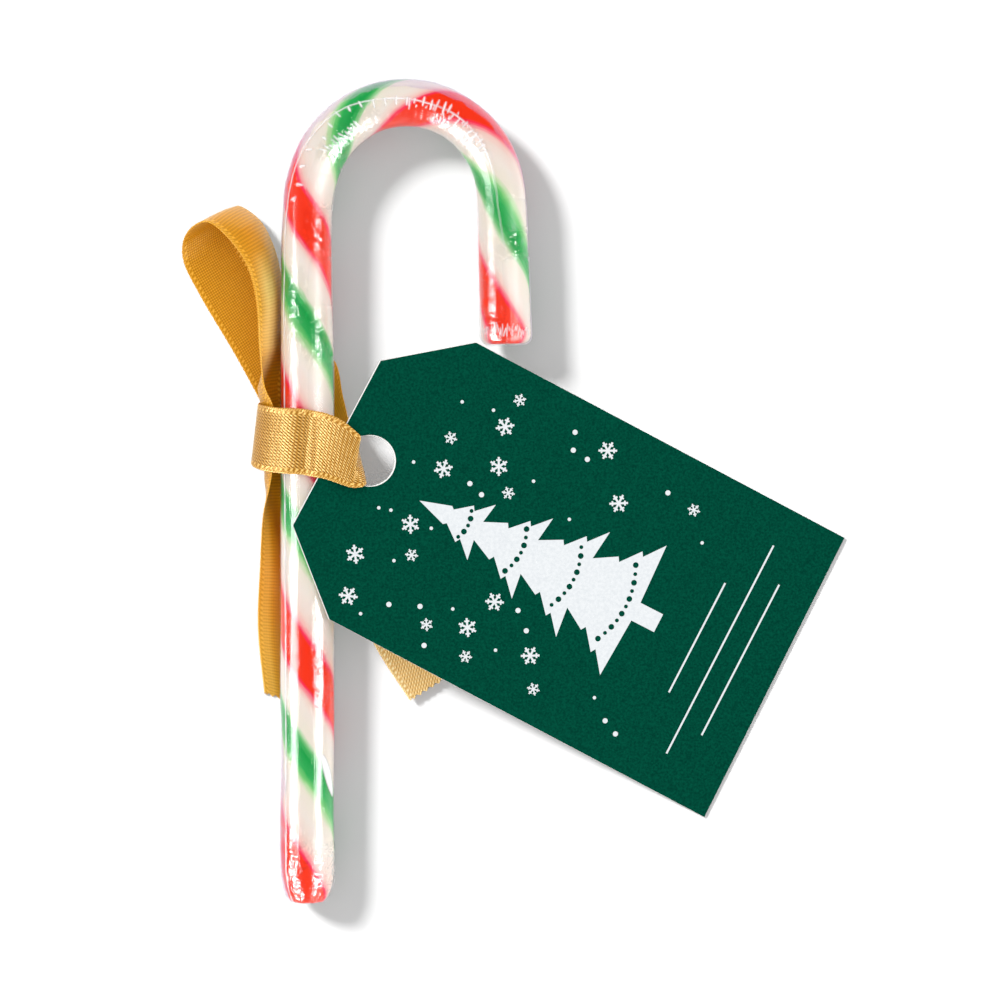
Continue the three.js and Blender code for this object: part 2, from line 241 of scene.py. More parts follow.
def tube(name, distances, angles, radii, along, lowest):
    """A closed tube round the cane's centre line, with texture places (turn, along), where along has a
    value for each ring, or for each ring and each angle and the first angle again.
    Angle 0 is its top, and angles grow to the right of the way from foot to hook. No point of its sides
    lies below lowest."""
    point, direction = cane_axis(distances)
    side = np.cross(direction, UP)
    side /= np.linalg.norm(side, axis=1, keepdims=True)
    crown = np.cross(side, direction)
    spread = radii[..., None]
    spots = point[:, None] + spread * np.cos(angles)[None, :, None] * crown[:, None]
    sideways = radii * side_stretch(distances, angles) * np.sin(angles)[None, :]
    spots = spots + sideways[..., None] * side[:, None]
    spots[..., 2] = np.maximum(spots[..., 2], lowest)
    rows, columns = radii.shape
    faces, corner_row, corner_column = grid_faces(rows, columns, wraps_across=True)
    if along.ndim == 1:
        along = along[:, None] * np.ones(columns + 1)
    places = np.stack([corner_column / columns, along[corner_row, corner_column]], axis=-1)
    places = places.reshape(-1, 2).tolist()
    points = spots.reshape(-1, 3).tolist()
    faces = faces.tolist()
    for row, order in ((0, -1), (rows - 1, 1)):
        points.append(spots[row].mean(axis=0).tolist())
        for j in range(columns):
            rim = [row * columns + j, row * columns + (j + 1) % columns][::order]
            faces.append([len(points) - 1] + rim)
            rim_places = [[k / columns, along[row, k]] for k in (j, j + 1)][::order]
            places += [[(j + 0.5) / columns, along[row, j]]] + rim_places
    return add_mesh(name, points, faces, places)


# ---- Materials ----

def linear(hex_colour):
    """An sRGB hex colour as linear red, green, blue and alpha."""
    channels = [int(hex_colour[i:i + 2], 16) / 255 for i in (1, 3, 5)]
    return [c / 12.92 if c <= 0.04045 else ((c + 0.055) / 1.055) ** 2.4 for c in channels] + [1.0]


def add_node(tree, kind, inputs=(), **settings):
    """Adds a node with its settings. Its inputs are listed in order, or keyed by number or name. Each is
    a value, another node's output, or a node, which stands for its first output."""
    made = tree.nodes.new("ShaderNode" + kind)
    for key, value in settings.items():
        setattr(made, key, value)
    for key, value in inputs.items() if isinstance(inputs, dict) else enumerate(inputs):
        if isinstance(value, bpy.types.Node):
            value = value.outputs[0]
        if isinstance(value, bpy.types.NodeSocket):
            tree.links.new(value, made.inputs[key])
        else:
            made.inputs[key].default_value = value
    return made


def new_material(name):
    material = bpy.data.materials.new(name)
    material.use_nodes = True
    material.node_tree.nodes.clear()
    return material, material.node_tree


def colour_stops(ramp_node, stops):
    """Sets a Color Ramp's stops: (position, hex colour), in rising order."""
    ramp = ramp_node.color_ramp
    while len(ramp.elements) > 1:
        ramp.elements.remove(ramp.elements[-1])
    ramp.elements[0].position = stops[0][0]
    ramp.elements[0].color = linear(stops[0][1])
    for position, colour in stops[1:]:
        ramp.elements.new(position).color = linear(colour)


def grain(tree, size, detail, strength, depth, roughness=0.5):
    """A surface's grain, about size mm across: its noise, and the bump that it makes, depth mm deep."""
    body = add_node(tree, "TexCoord")
    noise = add_node(tree, "TexNoise", {"Vector": body.outputs["Object"], "Scale": 1 / (size * MM),
                                        "Detail": detail, "Roughness": roughness})
    bump = add_node(tree, "Bump", {"Strength": strength, "Distance": depth * MM, "Height": noise})
    return noise, bump


def ripple(tree, place, length):
    """A wave from -1 to 1 over a place in mm, which comes round again every length mm."""
    turned = add_node(tree, "Math", [place, TURN / length], operation="MULTIPLY")
    return add_node(tree, "Math", [turned], operation="SINE")


# ---- Boiled sugar ----

# The stripes' twist: distances from the foot in mm and the turns made there. Whole turns put the red
# stripe on top.
TWIST = [(-34.8, -1.0), (3.1, 0.0), (24.4, 0.53), (41.1, 1.0), (78.3, 2.0), (115.8, 3.0), (151.2, 4.0),
         (192.8, 5.0)]
PRESSED_END = 9  # mm from the foot
PRESSED_TURN = 0.56  # the part of a turn, beside the red stripe, that is pressed
RED_SPREAD = 0.2  # turns that the red spreads there
CANDY_SIDES = 96


def stripe_turns(distances, turns):
    """The stripes' twist at each place on the candy, which is pressed at its foot, so the red spreads."""
    where, made = np.array(TWIST).T
    twist = np.interp(distances, where, made)[:, None] * np.ones(len(turns))
    phase = (turns + 0.5) % 1 - 0.5 + twist
    pressed = smoothstep(1 - distances / PRESSED_END)[:, None]
    pressed = pressed * np.sin(math.pi * np.clip(-phase / PRESSED_TURN, 0, 1))
    return twist + RED_SPREAD * pressed


def boiled_sugar():
    """Boiled sugar, pulled and rolled: cream white, with a red stripe whose edges bleed to pink and
    a green one that fades out on its lower side. It is glossy and lets light in a little."""
    material, tree = new_material("boiled_sugar")
    place = add_node(tree, "UVMap", uv_map="places")
    split = add_node(tree, "SeparateXYZ", [place])
    around, twist = split.outputs[0], split.outputs[1]
    # A stripe's edges wander by about 0.5 mm over 8 mm, and carry fine pulled streaks, which are 0.4 mm
    # wide and 12 mm long.
    body = add_node(tree, "TexCoord")
    wander = add_node(tree, "TexNoise", {"Vector": body.outputs["Object"], "Scale": 1 / (7.69 * MM),
                                         "Detail": 2.0})
    helix = add_node(tree, "Math", [around, twist], operation="ADD")
    pulled = add_node(tree, "CombineXYZ", [helix, twist])
    stretched = add_node(tree, "VectorMath", [pulled, (2.4, 0.12, 1.0)], operation="MULTIPLY")
    streaks = add_node(tree, "TexNoise", {"Vector": stretched, "Scale": 26.0, "Detail": 3.0,
                                          "Roughness": 0.6})
    moved = add_node(tree, "Math", [wander, 0.06, helix], operation="MULTIPLY_ADD")
    frayed = add_node(tree, "Math", [streaks, 0.05, moved], operation="MULTIPLY_ADD")
    # Both noises are 0.5 on average, which is taken off again.
    phase = add_node(tree, "Math", [frayed, 0.055], operation="SUBTRACT")
    wrapped = add_node(tree, "Math", [phase], operation="FRACT")
    stripes = add_node(tree, "ValToRGB", [wrapped])
    colour_stops(stripes, [
        (0.000, "#f03004"), (0.098, "#f03004"), (0.124, "#f02c58"), (0.142, "#ee8a92"),
        (0.170, "#eac2b8"), (0.215, "#e8d4ca"), (0.300, "#e7dcd3"), (0.395, "#e4dccd"),
        (0.425, "#bcd8a8"), (0.458, "#72c674"), (0.495, "#2fae58"), (0.570, "#12a24a"),
        (0.605, "#45b260"), (0.632, "#a3cf9c"), (0.650, "#e4dccd"), (0.780, "#e7dcd3"),
        (0.818, "#e8d4ca"), (0.842, "#eac2b8"), (0.862, "#ee8a92"), (0.878, "#f02c58"),
        (0.902, "#f03004"),
    ])
    bloom, bump = grain(tree, size=1.11, detail=3.0, strength=0.25, depth=0.05)
    roughness = add_node(tree, "MapRange", {0: bloom, 3: 0.30, 4: 0.45})
    surface = add_node(tree, "BsdfPrincipled", {
        "Base Color": stripes, "Roughness": roughness, "IOR": 1.49, "Specular IOR Level": 0.15,
        "Subsurface Weight": 0.35, "Subsurface Radius": (1.0, 0.55, 0.4), "Subsurface Scale": 0.5 * MM,
        "Normal": bump})
    add_node(tree, "OutputMaterial", [surface])
    return material


def make_candy():
    start, end = FILM_GAP, CANE_RUN - FILM_GAP
    distances = ring_distances(start, end, CANDY_ROUNDS, [(CANE_RUN, 0.5)])
    angles = np.arange(CANDY_SIDES) / CANDY_SIDES * TURN
    radii = (cane_radius(distances, CANDY_ROUNDS) - FILM_GAP)[:, None] * np.ones((1, CANDY_SIDES))
    twist = stripe_turns(distances, np.arange(CANDY_SIDES + 1) / CANDY_SIDES)
    candy = tube("striped_candy", distances, angles, radii, twist, lowest=0.1)
    candy.data.materials.append(boiled_sugar())
    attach(candy, "root")
    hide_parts("wrapped_cane")


# ---- Clear shrink film ----

FILM_SIDES = 160
# The film's welded seam: its distance from the foot and its angle round the cane, in degrees.
SEAM = [(0, -47), (14, -49), (45, -50), (75, -54), (102, -58), (115, -55), (121, -42), (126, -35),
        (132, -29), (136, -21), (140, -9), (144, -3), (149, 2), (153, 1), (158, 4), (164, 9), (168, 13),
        (172, 10), (175, 5), (181, -5), (188, -10), (196, -12)]
# Where the film stands off the sugar on the cane's outer side and looks milky: from this angle outward.
MILKY_FROM = [(0, -48), (14, -50), (26, -54), (32, -80), (108, -80), (116, -57), (126, -42), (133, -38),
              (142, -33), (150, -27), (155, -32), (160, -38), (165, -52), (170, -75), (196, -70)]
# How crinkled the film lies along the cane on its left and its right: 1 is well crinkled.
CRINKLED_LEFT = [(0, 1.1), (11, 1.0), (14, 0.3), (60, 0.35), (92, 0.4), (97, 1.0), (105, 1.0),
                 (109, 0.3), (175, 0.3), (177, 1.1), (180, 1.1), (182, 0.3), (196, 0.4)]
CRINKLED_RIGHT = [(0, 1.0), (8, 0.8), (12, 0.35), (31, 0.45), (34, 0.58), (51, 0.58), (56, 0.4),
                  (90, 0.4), (94, 1.0), (99, 0.8), (103, 0.3), (110, 0.6), (112, 1.2), (116, 1.0),
                  (119, 0.4), (126, 0.5), (128, 1.2), (137, 1.2), (141, 0.45), (149, 0.45), (152, 1.1),
                  (160, 1.0), (164, 0.5), (188, 0.6), (191, 1.0), (196, 1.0)]
# How dull the film is on its left and its right: it is rubbed where this is 1.
RUBBED_LEFT = [(0, 0.0), (10, 0.0), (14, 0.1), (170, 0.1), (172, 1.0), (176, 0.9), (177.5, 0.1),
               (180, 0.1), (181.5, 1.0), (196, 1.0)]
RUBBED_RIGHT = [(0, 0.5), (10, 0.6), (13, 0.2), (32, 0.0), (58, 0.0), (66, 0.7), (90, 0.7), (94, 0.2),
                (99, 0.2), (103, 0.8), (109, 0.6), (112, 0.1), (116, 0.2), (119, 0.9), (126, 0.8),
                (128, 0.1), (140, 0.3), (150, 0.5), (164, 0.5), (170, 0.35), (184, 0.25), (196, 0.1)]
# How flat the film is drawn where its highlights lie on the left and the right, or how round where less
# than 0.
FLAT_LEFT = [(0, 0.2), (100, 0.1), (106, 0.0), (113, -1.4), (119, -1.8), (196, 0.0)]
FLAT_RIGHT = [(0, 0.0), (14, 0.0), (30, 0.2), (35, 0.8), (52, 0.8), (57, 0.2), (93, 0.2), (97, 0.5),
              (101, -0.5), (110, -0.5), (114, 0.3), (119, 0.8), (127, 0.4), (140, 0.0), (150, 0.8),
              (160, 0.6), (172, 0.0), (196, 0.0)]


def wandering(distance, turn, seed, step, around):
    """Smooth noise over the tube, from -1 to 1: a value each step mm along it, and so many in a ring."""
    values = np.random.default_rng(seed).uniform(-1, 1, (int(CANE_RUN / step) + 3, around))
    along = distance / step
    across = np.mod(turn, 1) * around
    i, j = np.floor(along).astype(int), np.floor(across).astype(int)
    s, t = smoothstep(along - i), smoothstep(across - j)
    near = values[i, j % around] * (1 - t) + values[i, (j + 1) % around] * t
    far = values[i + 1, j % around] * (1 - t) + values[i + 1, (j + 1) % around] * t
    return near * (1 - s) + far * s


def along_cane(table, distance):
    where, value = np.array(table, float).T
    return np.interp(distance, where, value)


def fold(along, across, length, width, tilt):
    """A short straight fold, 1 on its ridge: its place along and across it, and its tilt from straight
    across the cane."""
    x = along * math.cos(tilt) - across * math.sin(tilt)
    y = along * math.sin(tilt) + across * math.cos(tilt)
    narrowing = np.clip(1 - (y / length) ** 2, 0, 1)
    return np.exp(-((x / (width * (0.35 + 0.65 * narrowing))) ** 2)) * smoothstep(narrowing * 2)


def add_folds(folds, distance, across, seed, places, spacing, lengths, tilts, middles, width):
    """Folds across the cane, one every spacing mm or so between two places; across is the distance round
    the cane from the line that they cross."""
    draw = np.random.default_rng(seed)
    place = places[0]
    while place < places[1]:
        tilt = math.radians(draw.uniform(*tilts))
        one = fold(distance - place, across - draw.uniform(*middles), draw.uniform(*lengths), width, tilt)
        np.maximum(folds, one * draw.uniform(0.7, 1.0), out=folds)
        place += draw.uniform(*spacing)


# Puckers, where the film has to go round the hook. How far right of the seam they lie, in mm, then the
# seed, places, spacing, lengths, tilts, middles and width that add_folds takes.
PUCKERS = [
    (0.35, 4, (134, 147), (1.7, 2.1), (0.6, 0.9), (-14, 6), (-0.3, 0.2), 0.19),
    (1.4, 10, (119, 134), (1.4, 3.0), (0.4, 0.8), (-10, 25), (-0.6, 0.9), 0.18),
    (0.0, 5, (146, 162.5), (0.85, 1.5), (0.6, 1.35), (-24, 10), (-0.4, 0.8), 0.18),
    (0.6, 12, (146, 160), (0.9, 1.9), (0.25, 0.5), (-35, 35), (-1.0, 1.0), 0.12),
    (3.6, 17, (128, 136), (0.6, 1.1), (0.4, 1.2), (-12, 25), (-0.5, 0.6), 0.16),
]
# More on the inside of the hook's far shoulder, measured from this angle instead of the seam.
INNER_PUCKERS_AT = math.radians(30)
INNER_PUCKERS = (18, (151, 160), (0.7, 1.3), (0.4, 0.9), (-20, 20), (-0.5, 0.4), 0.16)


def film_detail(distance, angle):
    """The film's height over a smooth sleeve in mm, and its marks: how white it is, partly from its folds
    and weld and partly from painted highlights, how milky it lies, how rubbed it is and how crinkled, each
    0 where it isn't so and 1 where it is fully so."""
    distance, angle = np.broadcast_arrays(distance[:, None], angle[None, :])
    turn = angle / TURN
    signed = np.mod(angle + math.pi, TURN) - math.pi
    degrees = np.degrees(signed)
    radius = cane_radius(distance, FILM_ROUNDS)
    right = smoothstep((degrees + 20) / 40)
    crinkled = along_cane(CRINKLED_LEFT, distance) * (1 - right)
    crinkled = crinkled + along_cane(CRINKLED_RIGHT, distance) * right
    # Tension lines that run with the cane, then the crinkles between them: height, seed, step, around.
    relief = np.zeros_like(radius)
    for height, *noise in ((0.026, 1, 9.0, 20), (0.014, 2, 3.2, 44)):
        relief = relief + height * wandering(distance, turn, *noise)
    for height, *noise in ((0.050, 3, 0.9, 26), (0.026, 8, 0.45, 52)):
        relief = relief + height * crinkled ** 2 * wandering(distance, turn, *noise)
    # Flats that the film is drawn into, which spread a highlight.
    for middle, flat in ((-28, FLAT_LEFT), (29, FLAT_RIGHT)):
        relief = relief - 0.045 * along_cane(flat, distance) * np.exp(-((degrees - middle) / 10) ** 2)
    # Pleats that run round the cane, in the hook.
    hook = smoothstep((distance - 118) / 6) * smoothstep((168 - distance) / 8)
    relief = relief + 0.045 * hook * wandering(distance, turn, 16, 0.6, 10)
    # The seam: a fine welded ridge.
    off_seam = (signed - np.radians(along_cane(SEAM, distance))) * radius
    ridge = np.exp(-((off_seam / 0.12) ** 2))
    relief = relief + 0.08 * ridge
    weld_patchiness = 0.5 + 0.5 * wandering(distance, turn, 9, 1.6, 1)
    weld = ridge * (0.35 + 0.6 * weld_patchiness) * smoothstep((182 - distance) / 5)
    on_shaft, on_leg = smoothstep((118 - distance) / 8), smoothstep((distance - 163) / 5)
    weld = weld * (1 + 0.6 * on_shaft) * (1 - 0.5 * on_leg)
    folds = np.zeros_like(relief)
    for beside_seam, *draws in PUCKERS:
        add_folds(folds, distance, off_seam - beside_seam, *draws)
    add_folds(folds, distance, (signed - INNER_PUCKERS_AT) * radius, *INNER_PUCKERS)
    relief = relief + 0.09 * folds
    # Gathers drawn in at the end of the hook, as short folds that run with the cane, then the foot's.
    gathers = np.zeros_like(relief)
    draw = np.random.default_rng(6)
    for middle in np.arange(-58, 62, 4.6):
        across = (signed - np.radians(middle + draw.uniform(-2.0, 2.0))) * radius
        along = distance - (CANE_RUN - draw.uniform(1.8, 2.7))
        one = fold(across, along, draw.uniform(0.4, 1.4), 0.11, math.radians(draw.uniform(-18, 18)))
        np.maximum(gathers, one * draw.uniform(0.45, 1.0), out=gathers)
    relief = relief + 0.07 * gathers
    foot_end = smoothstep(1.2 - distance / 9.0)
    relief = relief + 0.075 * foot_end * wandering(distance, turn, 7, 1.2, 28)
    # A long crescent on the right, near the foot: a painted highlight, drawn as a white mark.
    share = (distance - 18) / 7.5
    off_line = (degrees - (72 - 34 * share)) * math.pi / 180 * radius
    half_width = np.clip(4 * share * (1 - share), 0.01, 1) ** 0.6
    painted_crescent = smoothstep((1 - np.abs(off_line) / half_width) * 2.5) * ((share > 0) & (share < 1))
    # The white marks are partly the film's own whitening in its folds, gathers and weld, and partly painted
    # glints on them.
    white = np.maximum(np.maximum(weld, 0.9 * folds), np.maximum(0.85 * gathers, 0.9 * painted_crescent))
    # Crinkle lines, painted as highlights: white where a fine noise crosses zero in the crinkled stretches,
    # only in the bands about 27 degrees either side of the top where the highlights lie, and more so on the
    # foot.
    painted_glint_lines = 1 - np.abs(wandering(distance, turn, 13, 1.0, 30)) / 0.10
    painted_glint_lines = smoothstep(painted_glint_lines) * smoothstep((crinkled - 0.75) / 0.2)
    side = np.exp(-(((np.abs(degrees) - 27) / 8) ** 2))
    white = np.maximum(white, (0.3 + 0.5 * foot_end) * painted_glint_lines * side)
    # The milky outer side, with a frayed inner edge and streaks in it.
    edge = along_cane(MILKY_FROM, distance) + 7 * wandering(distance, turn, 14, 1.1, 6)
    streaks = 0.75 + 0.25 * wandering(distance, turn, 15, 6.0, 50)
    milky = smoothstep((edge - degrees) / 5) * streaks
    rubbed = along_cane(RUBBED_LEFT, distance) * (1 - right) + along_cane(RUBBED_RIGHT, distance) * right
    return relief, np.stack([white, milky, rubbed, np.clip(crinkled, 0, 1)], axis=-1)


def shrink_film():
    """Clear polyolefin shrink film, heat-shrunk: thin, colourless and very smooth, so it shows only as
    reflections, stronger at a glancing angle. It turns white along its folds and its weld, partly its own
    whitening and partly painted glints and highlights; it is milky where it stands off the sugar, and dull
    where it is rubbed."""
    material, tree = new_material("shrink_film")
    marks = add_node(tree, "Attribute", attribute_name="marks")
    split = add_node(tree, "SeparateXYZ", [marks.outputs["Vector"]])
    crease_white_and_glints, milky, rubbed = split.outputs[0], split.outputs[1], split.outputs[2]
    # Drawing lines: fine ridges that run with the cane, 0.2 mm apart and about 9 mm long.
    place = add_node(tree, "UVMap", uv_map="places")
    drawn_place = add_node(tree, "VectorMath", [place, (130.0, 22.0, 0.0)], operation="MULTIPLY")
    drawn = add_node(tree, "TexNoise", {"Vector": drawn_place, "Scale": 1.0, "Detail": 2.0})
    lines = add_node(tree, "Bump", {"Strength": 1.0, "Distance": 0.04 * MM, "Height": drawn})
    # Crinkles: a labyrinth of sharp grooves, where a noise crosses each of several levels. On the foot,
    # up to 10 to 13 mm from its end, the grooves are closer and shallower.
    body = add_node(tree, "TexCoord")
    maze = add_node(tree, "TexNoise", {"Vector": body.outputs["Object"], "Scale": 1 / (1.613 * MM),
                                       "Detail": 1.0, "Distortion": 0.6})
    place_parts = add_node(tree, "SeparateXYZ", [place])
    on_foot = add_node(tree, "MapRange", [place_parts.outputs[1], 0.066, 0.05])
    level_count = add_node(tree, "MapRange", {0: on_foot, 3: 3.5, 4: 4.8})
    levels = add_node(tree, "Math", [maze, level_count], operation="MULTIPLY")
    groove = add_node(tree, "Math", [levels, 0.5], operation="PINGPONG")
    depth = add_node(tree, "MapRange", [groove, 0.0, 0.12])
    how_crinkled = add_node(tree, "MapRange", [marks.outputs["Alpha"], 0.5, 0.58])
    shallower = add_node(tree, "MapRange", {0: on_foot, 3: 1.0, 4: 0.2})
    sharpness = add_node(tree, "Math", [how_crinkled, shallower], operation="MULTIPLY")
    bump = add_node(tree, "Bump", {"Strength": sharpness, "Distance": 0.02 * MM, "Height": depth,
                                   "Normal": lines})
    # Both faces reflect: 8 % seen straight on, rising to 90 % at a glancing angle. It is reckoned from
    # the facing, because light also comes back out through the film from within.
    facing = add_node(tree, "LayerWeight", {"Blend": 0.5})
    steep = add_node(tree, "Math", [facing.outputs[1], 4.5], operation="POWER")
    two_faces = add_node(tree, "MapRange", {0: steep, 3: 0.08, 4: 0.9})
    # In the bottom of a groove the film clings to the sugar and hardly reflects.
    bottom = add_node(tree, "MapRange", [groove, 0.05, 0.1, 0.95, 0.0])
    in_grooves = add_node(tree, "Math", [bottom, how_crinkled], operation="MULTIPLY")
    # On the foot it clings everywhere but along the grooves.
    between = add_node(tree, "MapRange", [groove, 0.09, 0.2, 0.0, 0.9])
    clinging = add_node(tree, "Mix", {0: on_foot, 2: in_grooves, 3: between})
    loose = add_node(tree, "Math", [1.0, clinging], operation="SUBTRACT")
    # Crinkled film stands off the sugar, and the foot's grooves are folded over, so more faces reflect.
    off_sugar = add_node(tree, "Math", [how_crinkled, 0.6, 1.0], operation="MULTIPLY_ADD")
    layers = add_node(tree, "Math", [on_foot, 0.6, off_sugar], operation="MULTIPLY_ADD")
    standing = add_node(tree, "Math", [loose, layers], operation="MULTIPLY")
    reflecting = add_node(tree, "Math", [two_faces, standing], operation="MULTIPLY", use_clamp=True)
    rough = add_node(tree, "MapRange", {0: rubbed, 3: 0.12, 4: 0.42})
    clear = add_node(tree, "BsdfTransparent", {"Color": linear("#fdfdfd")})
    gloss = add_node(tree, "BsdfGlossy", {"Color": linear("#ffffff"), "Normal": bump,
                                          "Roughness": rough})
    smooth_film = add_node(tree, "MixShader", [reflecting, clear, gloss])
    # Seen along its surface it is a little lilac, like its milky parts.
    glance = add_node(tree, "Math", [facing.outputs[1], 6.0], operation="POWER")
    cloudy = add_node(tree, "Math", [glance, 0.6, milky], operation="MULTIPLY_ADD")
    haze = add_node(tree, "Math", [cloudy, 0.27], operation="MULTIPLY", use_clamp=True)
    milk = add_node(tree, "BsdfDiffuse", {"Color": linear("#c4a9d2")})
    milky_film = add_node(tree, "MixShader", [haze, smooth_film, milk])
    # A white diffuse layer: the film's own white folds and weld, with painted glints and highlights.
    white_crease_and_glint_layer = add_node(tree, "BsdfDiffuse", {"Color": linear("#f2f0f2")})
    surface = add_node(tree, "MixShader", [crease_white_and_glints, milky_film, white_crease_and_glint_layer])
    add_node(tree, "OutputMaterial", [surface])
    return material


# The sleeve's rings: how far from the foot, and how far apart up to there. They are closest where it is
# most crinkled.
FILM_RINGS = [(12.0, 0.14), (120.0, 0.22), (165.0, 0.11), (188.0, 0.22), (CANE_RUN, 0.12)]


def make_film():
    distances = ring_distances(0, CANE_RUN, FILM_ROUNDS, FILM_RINGS)
    angles = np.arange(FILM_SIDES) / FILM_SIDES * TURN
    relief, marks = film_detail(distances, angles)
    radii = cane_radius(distances, FILM_ROUNDS)[:, None] + relief
    film = tube("film_sleeve", distances, angles, radii, distances / CANE_RUN, lowest=0.0)
    colours = film.data.attributes.new("marks", "FLOAT_COLOR", "POINT")
    marks = np.concatenate([marks.reshape(-1, 4), np.zeros((2, 4))])
    colours.data.foreach_set("color", marks.astype(np.float32).ravel())
    film.data.materials.append(shrink_film())
    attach(film, "root")
    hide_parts("wrapped_cane")


# ---- Satin ribbon ----

def smooth_edge(points, steps, is_loop):
    """A centripetal Catmull-Rom curve through points, with steps from each to the next, and its ways."""
    points = np.array(points, float)
    count = len(points)
    if is_loop:
        ring = np.concatenate([points[-1:], points, points[:2]])
    else:
        ring = np.concatenate([2 * points[:1] - points[1:2], points, 2 * points[-1:] - points[-2:-1]])
    spans = count if is_loop else count - 1
    spots, ways = [], []
    for k in range(spans):
        p0, p1, p2, p3 = ring[k:k + 4]
        d0, d1, d2 = (np.linalg.norm(b - a) ** 0.5 for a, b in ((p0, p1), (p1, p2), (p2, p3)))
        start_way = ((p1 - p0) / d0 - (p2 - p0) / (d0 + d1) + (p2 - p1) / d1) * d1
        end_way = ((p2 - p1) / d1 - (p3 - p1) / (d1 + d2) + (p3 - p2) / d2) * d1
        t = (np.arange(steps) / steps)[:, None]
        c2 = -3 * p1 + 3 * p2 - 2 * start_way - end_way
        c3 = 2 * p1 - 2 * p2 + start_way + end_way
        spots.append(p1 + start_way * t + c2 * t ** 2 + c3 * t ** 3)
        ways.append(start_way + 2 * c2 * t + 3 * c3 * t ** 2)
    if not is_loop:
        spots.append(points[-1:])
        ways.append(end_way[None])
    return np.concatenate(spots), np.concatenate(ways)


def full_bow(chord):
    """Height of the arc that a ribbon takes when its edges are held nearer than its width."""
    return np.sqrt(np.maximum(3 * chord * (RIBBON_WIDTH - chord) / 8, 0))


def ribbon_strip(name, stations, is_loop, steps, materials):
    """A closed strip of satin ruled between its two edges, with texture places in mm (across, along).
    Its upper face takes the first material, its lower face the second, and its right tail's lower face
    the third if there is one."""
    left, left_way = smooth_edge([s[0] for s in stations], steps, is_loop)
    right, right_way = smooth_edge([s[1] for s in stations], steps, is_loop)
    rows = len(left)
    across = right - left
    chord = np.linalg.norm(across, axis=1)
    face = np.cross(across, left_way + right_way)
    face /= np.linalg.norm(face, axis=1, keepdims=True)
    bows = np.array([s[2] for s in stations] + [stations[0][2]], float)
    bow = np.interp(np.arange(rows) / steps, np.arange(len(bows)), bows) * full_bow(chord)
    middle = (left + right) / 2
    gaps = np.linalg.norm(np.diff(middle, axis=0, append=middle[:1]), axis=1)
    along = np.concatenate([[0], np.cumsum(gaps)])
    # Columns are closer at the selvedges, where the weft turns back in small loops.
    u = np.array([0, 0.007, 0.018, 0.03, 0.045, 0.08, 0.14, 0.20, 0.26, 0.32, 0.38, 0.44])
    u = np.concatenate([u, [0.5], 1 - u[::-1]])
    columns = len(u)
    loops = 0.5 + 0.5 * np.sin(along[:rows, None] / WEFT_LOOP * TURN)
    from_edge = np.minimum(u, 1 - u) * RIBBON_WIDTH
    cord = np.exp(-(((from_edge - 0.2) / 0.16) ** 2))[None, :]
    outward = np.where(u < 0.5, -1, 1) * np.exp(-((from_edge / 0.15) ** 2)) * 0.05
    lift = bow[:, None] * 4 * u * (1 - u)
    core = left[:, None] + across[:, None] * u[None, :, None] + face[:, None] * lift[..., None]
    core = core + (across / chord[:, None])[:, None] * (outward[None, :] * loops)[..., None]
    if not is_loop:
        # Both ends are cut with pinking shears.
        teeth = (np.arange(columns) % 2 - 0.5)[:, None] * 0.5
        for end in (0, -1):
            way = (left_way + right_way)[end]
            core[end] += teeth * way / np.linalg.norm(way)
    half = RIBBON_THICKNESS / 2 * (1 + 0.35 * cord * (0.6 + 0.4 * loops))
    half[:, [0, -1]] *= 0.4
    upper = core + face[:, None] * half[..., None]
    lower = core - face[:, None] * half[..., None]
    ring = np.concatenate([upper, lower[:, ::-1]], axis=1) - MIDDLE
    ring_u = np.concatenate([u, u[::-1]]) * RIBBON_WIDTH
    faces, corner_row, corner_column = grid_faces(rows, 2 * columns, True, is_loop)
    places = np.stack([ring_u[corner_column % (2 * columns)], along[corner_row]], axis=-1)
    under = (corner_column[:, 0] >= columns).astype(int)
    if len(materials) > 2:
        on_tail = corner_row[:, 0] > (rows - 1) * TAIL_STATION / (len(stations) - 1)
        under[(under == 1) & on_tail] = 2
    under = under.tolist()
    faces = faces.tolist()
    places = places.reshape(-1, 2).tolist()
    if not is_loop:
        for row, order in ((0, -1), (rows - 1, 1)):
            for j in range(columns - 1):
                quad = [j, j + 1, 2 * columns - 2 - j, 2 * columns - 1 - j][::order]
                faces.append([row * 2 * columns + q for q in quad])
                places += [[ring_u[q], along[row]] for q in quad]
                under.append(0)
    strip = add_mesh(name, ring.reshape(-1, 3), faces, places)
    for material in materials:
        strip.data.materials.append(material)
    strip.data.polygons.foreach_set("material_index", under)
    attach(strip, "root")
    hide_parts("ribbon")


